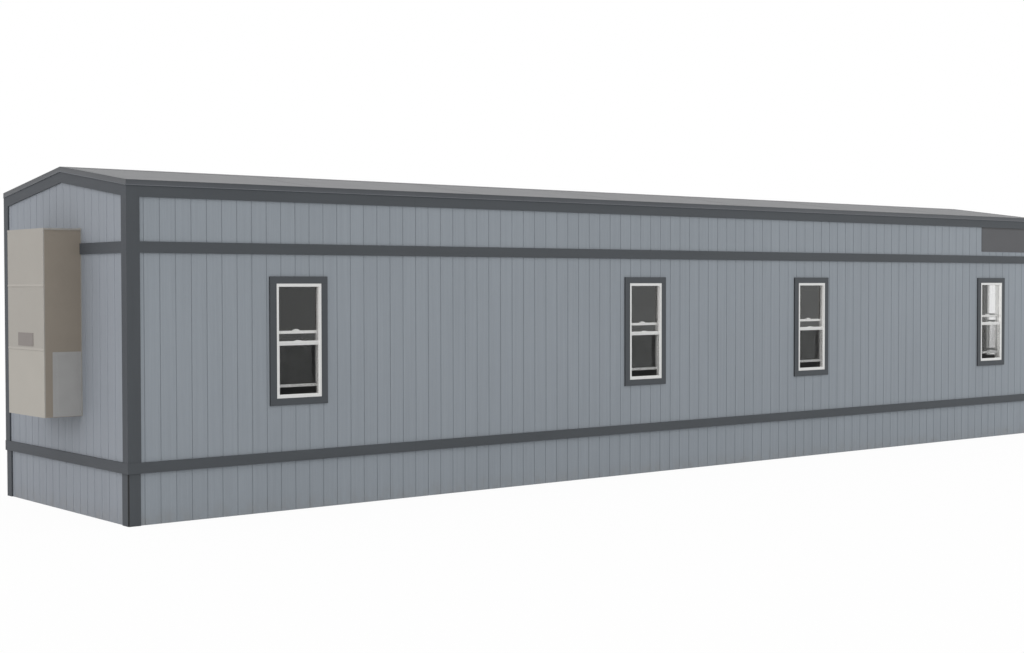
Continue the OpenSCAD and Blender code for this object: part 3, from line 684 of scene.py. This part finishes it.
class Piece:
    """Mesh code for one added piece, which rides on the cabin."""

    def __init__(self, name):
        self.name = name
        self.mesh = bmesh.new()

    def loft(self, rings):
        """Faces between rings of points, one after the other, and over the first and the last."""
        rows = [[self.mesh.verts.new(point) for point in ring] for ring in rings]
        for low, high in zip(rows, rows[1:]):
            for i in range(len(low)):
                j = (i + 1) % len(low)
                self.mesh.faces.new((low[i], low[j], high[j], high[i]))
        self.mesh.faces.new(rows[0])
        self.mesh.faces.new(rows[-1])

    def prism(self, outline, sweep):
        """A flat outline drawn out along a vector."""
        self.loft([outline, [Vector(point) + Vector(sweep) for point in outline]])

    def block(self, side, along, out, up):
        """A box given by its ranges on a side."""
        corners = [(along[0], up[0]), (along[1], up[0]), (along[1], up[1]), (along[0], up[1])]
        self.prism([side.at(a, out[0], u) for a, u in corners], side.out * (out[1] - out[0]))

    def head(self, side, along, out, up, radius, height, corners=HEAD_CORNERS):
        """A low head with a chamfered rim, for nails and screws."""
        turns = [2 * math.pi * i / corners for i in range(corners)]
        rims = ((radius, 0.0), (radius, height / 2), (HEAD_TOP_SHARE * radius, height))
        self.loft([
            [side.at(along + reach * math.cos(t), out + lift, up + reach * math.sin(t)) for t in turns]
            for reach, lift in rims
        ])

    def bead(self, side, along, up, out, width, proud):
        """A strip inside the edges of a rectangle, which falls away towards the middle."""
        rows = []
        for inset, lift in ((0.0, 0.0), (0.0, proud), (width, 0.0)):
            near, far = along[0] + inset, along[1] - inset
            low, high = up[0] + inset, up[1] - inset
            corners = [(near, low), (far, low), (far, high), (near, high)]
            rows.append([self.mesh.verts.new(side.at(a, out + lift, u)) for a, u in corners])
        for first, second in zip(rows, rows[1:] + rows[:1]):
            for i in range(4):
                j = (i + 1) % 4
                self.mesh.faces.new((first[i], first[j], second[j], second[i]))

    def finish(self, material):
        bmesh.ops.recalc_face_normals(self.mesh, faces=self.mesh.faces)
        data = bpy.data.meshes.new(self.name)
        self.mesh.to_mesh(data)
        self.mesh.free()
        data.materials.append(material)
        piece = bpy.data.objects.new(self.name, data)
        bpy.context.scene.collection.objects.link(piece)
        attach(piece, "root")


def steps(start, end, spacing):
    """Even places from start to end, at most a spacing apart."""
    count = max(1, math.ceil((end - start) / spacing))
    return [start + (end - start) * i / count for i in range(count + 1)]


# Nails

NAIL_RADIUS = 0.0045
NAIL_HEIGHT = 0.0009
NAIL_EDGE = 0.025
NAIL_BESIDE_GROOVE = 0.014
SHEET_NAIL_SPACING = 0.305
BOARD_NAIL_SPACING = 0.61
CASING_NAIL_SPACING = 0.4


def add_siding_nails():
    """Painted nail heads beside the grooves at the studs, clear of boards and fixed things."""
    piece = Piece("siding_nails")
    names = ("window_casings", "door_casing", "ac_top_cap", "ac_cabinet", "sign_board")
    covers = [box for name in names for box in solids(name)]
    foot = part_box("lower_belt_sides")[1].z + NAIL_EDGE
    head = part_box("fascia_boards")[0].z - NAIL_EDGE
    belt_foot, belt_head = (corner.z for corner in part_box("upper_belt"))
    rows = steps(foot, belt_foot - NAIL_EDGE, SHEET_NAIL_SPACING)
    rows += steps(belt_head + NAIL_EDGE, head, SHEET_NAIL_SPACING)
    for side, reach in ((FRONT, LONG_REACH), (BACK, LONG_REACH), (LEFT, END_REACH), (RIGHT, END_REACH)):
        hidden = side.on_wall(covers)
        studs = int((reach[1] - reach[0] - STUD_SPACING / 2) / STUD_SPACING)
        for i in range(studs):
            along = reach[0] + STUD_SPACING * (i + 1) + NAIL_BESIDE_GROOVE
            for up in rows:
                covered = any(
                    a[0] - NAIL_EDGE < along < a[1] + NAIL_EDGE
                    and u[0] - NAIL_EDGE < up < u[1] + NAIL_EDGE
                    for a, _, u in hidden
                )
                if not covered:
                    piece.head(side, along, 0.0, up, NAIL_RADIUS, NAIL_HEIGHT)
    piece.finish(long_siding)


def add_board_nails():
    """Pairs of painted nail heads along the belts, fascia, corner boards and casings."""
    piece = Piece("board_nails")
    names = ("lower_belt_sides", "lower_belt_ends", "upper_belt", "fascia_boards", "corner_boards",
             "skirt_corner_boards")
    boards = [box for name in names for box in solids(name)]
    casings = solids("window_casings") + solids("door_casing")
    for side in (FRONT, BACK, LEFT, RIGHT):
        for along, out, up in side.on_wall(boards):
            lying = along[1] - along[0] > up[1] - up[0]
            length, width = (along, up) if lying else (up, along)
            quarter = (width[1] - width[0]) / 4
            for far in steps(length[0] + NAIL_EDGE, length[1] - NAIL_EDGE, BOARD_NAIL_SPACING):
                for near in (width[0] + quarter, width[1] - quarter):
                    place = (far, near) if lying else (near, far)
                    piece.head(side, place[0], out[1], place[1], NAIL_RADIUS, NAIL_HEIGHT)
        for along, out, up in side.on_wall(casings):
            for far in steps(up[0] + NAIL_EDGE, up[1] - NAIL_EDGE, CASING_NAIL_SPACING):
                for near in (along[0] + NAIL_EDGE, along[1] - NAIL_EDGE):
                    piece.head(side, near, out[1], far, NAIL_RADIUS, NAIL_HEIGHT)
    piece.finish(upright_trim)


# Window fittings

BEAD_WIDTH = 0.003
BEAD_PROUD = 0.002
WEEP_LENGTH = 0.034
WEEP_SHARES = (0.2, 0.8)
WEEP_PROFILE = ((0.0, 0.010), (0.002, 0.010), (0.0005, 0.018), (0.0, 0.018))
LIFT_LENGTH = 0.18
LIFT_PROFILE = ((0.0, 0.012), (0.009, 0.014), (0.009, 0.017), (0.0, 0.023))
CAULK_ON_FRAME = 0.004
CAULK_ON_CASING = 0.003
CAULK_PROUD = 0.001
WINDOW_SIDES = (FRONT, BACK, RIGHT)


def in_wall(side, name):
    """The spans of a node's solids that lie in a side's wall, whether or not they stand out of it."""
    spans = [side.spans(box) for box in solids(name)]
    return [span for span in spans if -WALL_DEPTH < span[1][0]]


def add_glazing_beads():
    """Thin bevelled strips that seal the panes."""
    piece = Piece("glazing_beads")
    for side in WINDOW_SIDES:
        for along, out, up in in_wall(side, "window_glass"):
            piece.bead(side, along, up, out[1], BEAD_WIDTH, BEAD_PROUD)
    piece.finish(rubber)


def add_frame_caulk():
    """Painted caulk up both sides of each window frame, from the casing's face onto the frame's."""
    piece = Piece("frame_caulk")
    for side in WINDOW_SIDES:
        for along, out, up in in_wall(side, "window_frames"):
            for edge, inward in ((along[0], 1), (along[1], -1)):
                profile = (
                    (edge - inward * CAULK_ON_CASING, -CASING_DEPTH),
                    (edge, -CASING_DEPTH),
                    (edge + inward * CAULK_ON_FRAME, out[1]),
                    (edge, out[1] + CAULK_PROUD),
                )
                outline = [side.at(a, o, up[0]) for a, o in profile]
                piece.prism(outline, (0.0, 0.0, up[1] - up[0]))
    piece.finish(upright_trim)


def add_window_fittings():
    """Weep-hole covers on the sills and finger lifts on the sash rails."""
    piece = Piece("window_fittings")
    for side in WINDOW_SIDES:
        for along, out, up in in_wall(side, "window_frames"):
            for share in WEEP_SHARES:
                start = along[0] + share * (along[1] - along[0]) - WEEP_LENGTH / 2
                outline = [side.at(start, out[1] + o, up[0] + u) for o, u in WEEP_PROFILE]
                piece.prism(outline, side.along * WEEP_LENGTH)
        for along, out, up in in_wall(side, "lower_sashes"):
            start = (along[0] + along[1] - LIFT_LENGTH) / 2
            outline = [side.at(start, out[1] + o, up[0] + u) for o, u in LIFT_PROFILE]
            piece.prism(outline, side.along * LIFT_LENGTH)
    piece.finish(frame_vinyl)


# Air conditioner fittings

SCREW_RADIUS = 0.006
SCREW_HEIGHT = 0.003
SCREW_EDGE = 0.016
SCREW_SPACING = 0.3
SCREW_CORNERS = 6
SEAM_SETBACK = 0.001
RIB_BORDER = 0.03
RIB_PITCH = 0.012
RIB_WIDTH = 0.006
RIB_PROUD = 0.002
RIB_TOP_SHARES = (0.7, 0.3)
FLANGE_WIDTH = 0.034
FLANGE_PROUD = 0.0015
SEALANT_SIZE = 0.009
GUARD_SIDES = ((FRONT, 0), (BACK, -1))


def guards():
    """Each coil guard with the side of the cabin that it faces and its spans there."""
    boxes = sorted(solids("ac_coil_guards"), key=lambda box: box[0].y)
    return [(side, side.spans(boxes[index])) for side, index in GUARD_SIDES]


def add_ac_seams():
    """Folded strips that show in the seams between the front panels."""
    piece = Piece("ac_seams")
    back = AC_PANELS[0][1][0]
    for lower, upper in zip(AC_PANELS, AC_PANELS[1:]):
        piece.block(LEFT, lower[0], (back, AC_FACE - SEAM_SETBACK), (lower[2][1], upper[2][0]))
    piece.finish(ac_paint)


def add_ac_screws():
    """Screw heads beside the edges of the front panels and the coil guards."""
    piece = Piece("ac_screws")
    places = [(LEFT, along, AC_FACE, up) for along, _, up in AC_PANELS]
    places += [(side, along, out[1], up) for side, (along, out, up) in guards()]
    for side, along, face, up in places:
        for near in (along[0] + SCREW_EDGE, along[1] - SCREW_EDGE):
            for far in steps(up[0] + 3 * SCREW_EDGE, up[1] - 2 * SCREW_EDGE, SCREW_SPACING):
                piece.head(side, near, face, far, SCREW_RADIUS, SCREW_HEIGHT, SCREW_CORNERS)
    piece.finish(satin_steel)


def add_guard_ribs():
    """Upright pressed ribs on the coil guards, inside a plain border, and each guard's front flange."""
    piece = Piece("guard_ribs")
    profile = [(0.0, 0.0), (RIB_WIDTH, 0.0)]
    profile += [(share * RIB_WIDTH, RIB_PROUD) for share in RIB_TOP_SHARES]
    for side, (along, out, up) in guards():
        height = up[1] - up[0] - 2 * RIB_BORDER
        count = int((along[1] - along[0] - 2 * RIB_BORDER) / RIB_PITCH)
        for i in range(count):
            start = along[0] + RIB_BORDER + i * RIB_PITCH
            outline = [side.at(start + a, out[1] + o, up[0] + RIB_BORDER) for a, o in profile]
            piece.prism(outline, (0.0, 0.0, height))
        flange = (along[0] - FLANGE_WIDTH, along[0])
        piece.block(side, flange, (out[1], out[1] + FLANGE_PROUD), up)
    piece.finish(guard_metal)


def add_ac_sealant():
    """Sealant where the cabinet meets the siding, parted by the belt boards, and over the top cap."""
    piece = Piece("ac_sealant")
    along, _, up = LEFT.spans(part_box("ac_cabinet"))
    belt_foot, belt_head = (corner.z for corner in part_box("upper_belt"))
    for edge, turn in ((along[0], -SEALANT_SIZE), (along[1], SEALANT_SIZE)):
        corners = ((edge, 0.0), (edge + turn, 0.0), (edge, SEALANT_SIZE))
        for foot, head in ((up[0], belt_foot), (belt_head, up[1])):
            outline = [LEFT.at(a, out, foot) for a, out in corners]
            piece.prism(outline, (0.0, 0.0, head - foot))
    along, _, up = LEFT.spans(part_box("ac_top_cap"))
    corners = ((0.0, 0.0), (SEALANT_SIZE, 0.0), (0.0, SEALANT_SIZE))
    outline = [LEFT.at(along[0], out, up[1] + lift) for out, lift in corners]
    piece.prism(outline, LEFT.along * (along[1] - along[0]))
    piece.finish(sealant)


# Door, sign and skirt fittings

HINGE_RADIUS = 0.007
HINGE_HEIGHT = 0.1
HINGE_CORNERS = 12
HINGE_SHARES = (0.12, 0.5, 0.88)
DOOR_GAP = 0.003
THRESHOLD_PROFILE = (
    (0.0, -0.02), (0.018, -0.02), (0.018, 0.002),
    (-0.029, 0.006), (-0.029, 0.0), (0.0, 0.0),
)
SHADE_SHEET_GAP = 0.0005


def add_door_fittings():
    """Three hinge knuckles beside the door leaf, and a threshold plate with a nose over the siding."""
    piece = Piece("door_fittings")
    along, out, up = BACK.spans(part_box("door_leaf"))
    edge = along[1] + DOOR_GAP / 2
    turns = [2 * math.pi * i / HINGE_CORNERS for i in range(HINGE_CORNERS)]
    ring = [(HINGE_RADIUS * math.cos(t), HINGE_RADIUS * (1 + math.sin(t))) for t in turns]
    for share in HINGE_SHARES:
        foot = up[0] + share * (up[1] - up[0]) - HINGE_HEIGHT / 2
        outline = [BACK.at(edge + a, out[1] + o, foot) for a, o in ring]
        piece.prism(outline, (0.0, 0.0, HINGE_HEIGHT))
    outline = [BACK.at(along[0] - DOOR_GAP, o, up[0] + u) for o, u in THRESHOLD_PROFILE]
    piece.prism(outline, BACK.along * (along[1] - along[0] + 2 * DOOR_GAP))
    piece.finish(satin_steel)


def add_sign_screws():
    """Screw heads along the top and bottom of the blank sign board."""
    piece = Piece("sign_screws")
    along, out, up = FRONT.spans(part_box("sign_board"))
    for near in steps(along[0] + NAIL_EDGE, along[1] - NAIL_EDGE, BOARD_NAIL_SPACING):
        for far in (up[0] + NAIL_EDGE, up[1] - NAIL_EDGE):
            piece.head(FRONT, near, out[1], far, SCREW_RADIUS, SCREW_HEIGHT, SCREW_CORNERS)
    piece.finish(sign_paint)


def add_corner_shade_sheets():
    """Painted shade: dark sheets in the open skirt corners, between the two boards of each corner."""
    piece = Piece("corner_shade_sheets")
    boards = solids("skirt_corner_boards")

    def reach(span):
        return span[0][1]

    for end in (LEFT, RIGHT):
        spans = [end.spans(box) for box in boards]
        on_end = [span for span in spans if span[1][1] > 0.0]
        behind_end = [span for span in spans if -WALL_DEPTH < span[1][0] and span[1][1] <= 0.0]
        end_board = max(on_end, key=reach)
        front_board = max(behind_end, key=reach)
        near, far = reach(end_board) + SHADE_SHEET_GAP, reach(front_board) - SHADE_SHEET_GAP
        face, tip = front_board[1][1] + SHADE_SHEET_GAP, end_board[1][1] - SHADE_SHEET_GAP
        corners = ((near, face), (far, face), (near, tip))
        height = front_board[2][1]
        piece.prism([end.at(a, out, 0.0) for a, out in corners], (0.0, 0.0, height))
    piece.finish(corner_shade_paint)


# Roof

LAP_WIDTH = 0.06
LAP_THICKNESS = 0.0022
RIDGE_THICKNESS = 0.0036
RIDGE_REACH = 0.15


def add_roof_laps():
    """Strips over the joints between roof sheets, across both slopes, and a strip along the ridge."""
    piece = Piece("roof_laps")
    flange = min(out[1] - out[0] for _, out, _ in map(FRONT.spans, solids("eave_drip_edges")))

    def strip(start, length, reach, thickness):
        corners = [(-reach, 0.0), (0.0, 0.0), (reach, 0.0)]
        corners += [(y, thickness) for y, _ in reversed(corners)]
        outline = [(start, y, ROOF_HIGH.z - ROOF_FALL * abs(y) + lift) for y, lift in corners]
        piece.prism(outline, (length, 0.0, 0.0))

    for middle in steps(ROOF_LOW.x, ROOF_HIGH.x, ROOF_SHEET)[1:-1]:
        strip(middle - LAP_WIDTH / 2, LAP_WIDTH, -ROOF_LOW.y - flange, LAP_THICKNESS)
    strip(ROOF_LOW.x + flange, ROOF_HIGH.x - ROOF_LOW.x - 2 * flange, RIDGE_REACH, RIDGE_THICKNESS)
    piece.finish(roof)


add_siding_nails()
add_board_nails()
add_glazing_beads()
add_frame_caulk()
add_window_fittings()
add_ac_seams()
add_ac_screws()
add_guard_ribs()
add_ac_sealant()
add_door_fittings()
add_sign_screws()
add_corner_shade_sheets()
add_roof_laps()

# Floor, light and camera

WHITE_SHARE = 0.96
FLOOR_COLOUR = (0.8, 0.8, 0.8, 1.0)
FLOOR_HALF = 400.0
FLOOR_DROP = 0.001
WORLD_LEVEL = 0.93

# The camera's angles are in degrees: how far it looks down, how far it is rolled and where it looks
LENS_MM = 56.12
SENSOR_MM = 36.0
CAMERA_SIGHT = 2000.0
CAMERA_PLACE = (-17.075, -18.7555, 2.788)
CAMERA_DOWN, CAMERA_ROLL, CAMERA_HEADING = 1.52, 0.083, 50.78


def seen_directly(tree):
    """1 for rays that show a surface directly, mirrored or through glass, and 0 for its light."""
    path = tree.nodes.new("ShaderNodeLightPath")
    total = path.outputs["Is Camera Ray"]
    for name in ("Is Glossy Ray", "Is Transmission Ray"):
        node = tree.nodes.new("ShaderNodeMath")
        node.operation = "MAXIMUM"
        tree.links.new(total, node.inputs[0])
        tree.links.new(path.outputs[name], node.inputs[1])
        total = node.outputs[0]
    return total


def make_floor():
    data = bpy.data.meshes.new("floor")
    corners = [(-1, -1), (1, -1), (1, 1), (-1, 1)]
    points = [(x * FLOOR_HALF, y * FLOOR_HALF, -FLOOR_DROP) for x, y in corners]
    data.from_pydata(points, [], [(0, 1, 2, 3)])
    floor = bpy.data.objects.new("floor", data)
    bpy.context.scene.collection.objects.link(floor)
    material = bpy.data.materials.new("pale_floor")
    material.use_nodes = True
    tree = material.node_tree
    tree.nodes.clear()
    matt = tree.nodes.new("ShaderNodeBsdfDiffuse")
    matt.inputs["Color"].default_value = FLOOR_COLOUR
    white = tree.nodes.new("ShaderNodeEmission")
    share = tree.nodes.new("ShaderNodeMath")
    share.operation = "MULTIPLY"
    tree.links.new(seen_directly(tree), share.inputs[0])
    share.inputs[1].default_value = WHITE_SHARE
    mixed = tree.nodes.new("ShaderNodeMixShader")
    tree.links.new(share.outputs[0], mixed.inputs[0])
    tree.links.new(matt.outputs[0], mixed.inputs[1])
    tree.links.new(white.outputs[0], mixed.inputs[2])
    output = tree.nodes.new("ShaderNodeOutputMaterial")
    tree.links.new(mixed.outputs[0], output.inputs["Surface"])
    data.materials.append(material)


def make_world(level):
    world = bpy.data.worlds.new("studio")
    bpy.context.scene.world = world
    world.use_nodes = True
    tree = world.node_tree
    background = tree.nodes["Background"]
    background.inputs["Color"].default_value = (1.0, 1.0, 1.0, 1.0)
    strength = tree.nodes.new("ShaderNodeMapRange")
    tree.links.new(seen_directly(tree), strength.inputs["Value"])
    strength.inputs["To Min"].default_value = level
    strength.inputs["To Max"].default_value = 1.0
    tree.links.new(strength.outputs[0], background.inputs["Strength"])


# A lamp's level is the brightness that it gives a white surface that faces it, at its target if any


def place_lamp(name, data, way, place=(0.0, 0.0, 0.0)):
    """Puts a lamp at a place; way is the direction from what it shines on to the lamp."""
    lamp = bpy.data.objects.new(name, data)
    lamp.location = place
    lamp.rotation_euler = way.to_track_quat("Z", "Y").to_euler()
    bpy.context.scene.collection.objects.link(lamp)


def make_sun(name, towards, level, spread, colour):
    """A soft far-off lamp that shines from a direction, as wide as the spread in degrees."""
    data = bpy.data.lights.new(name, "SUN")
    data.energy = level * math.pi
    data.angle = math.radians(spread)
    data.color = colour
    place_lamp(name, data, Vector(towards))


def make_panel(name, place, target, level, size):
    """A square lamp."""
    data = bpy.data.lights.new(name, "AREA")
    way = Vector(place) - Vector(target)
    data.energy = level * math.pi ** 2 * way.length_squared
    data.size = size
    place_lamp(name, data, way, place)


def make_spot(name, place, target, level, cone, radius):
    """A round lamp that shines in a cone, which is given in degrees."""
    data = bpy.data.lights.new(name, "SPOT")
    way = Vector(place) - Vector(target)
    data.energy = level * 4 * math.pi ** 2 * way.length_squared
    data.spot_size = math.radians(cone)
    data.shadow_soft_size = radius
    place_lamp(name, data, way, place)


def make_camera():
    data = bpy.data.cameras.new("camera")
    data.lens = LENS_MM
    data.sensor_width = SENSOR_MM
    data.clip_end = CAMERA_SIGHT
    camera = bpy.data.objects.new("camera", data)
    camera.location = CAMERA_PLACE
    turns = (90 - CAMERA_DOWN, CAMERA_ROLL, CAMERA_HEADING - 90)
    camera.rotation_euler = [math.radians(turn) for turn in turns]
    bpy.context.scene.collection.objects.link(camera)
    bpy.context.scene.camera = camera


make_floor()
make_world(WORLD_LEVEL)
make_sun("key", towards=(-0.90, 0.16, 0.40), level=0.27, spread=100, colour=(1.0, 0.92, 0.88))
make_panel(
    "far_fill", place=(17.0, -12.0, 6.0), target=(8.0, FRONT_Y, 2.0), level=0.09, size=4.0
)

# Inside the cabin, aimed at the reveal of the far room's front window
make_spot(
    "room_lamp", place=(1.5, 1.5, 2.2), target=(8.35, FRONT_Y + 0.08, 2.42),
    level=0.35, cone=13, radius=0.15,
)
make_camera()
bpy.context.scene.view_settings.view_transform = "Standard"
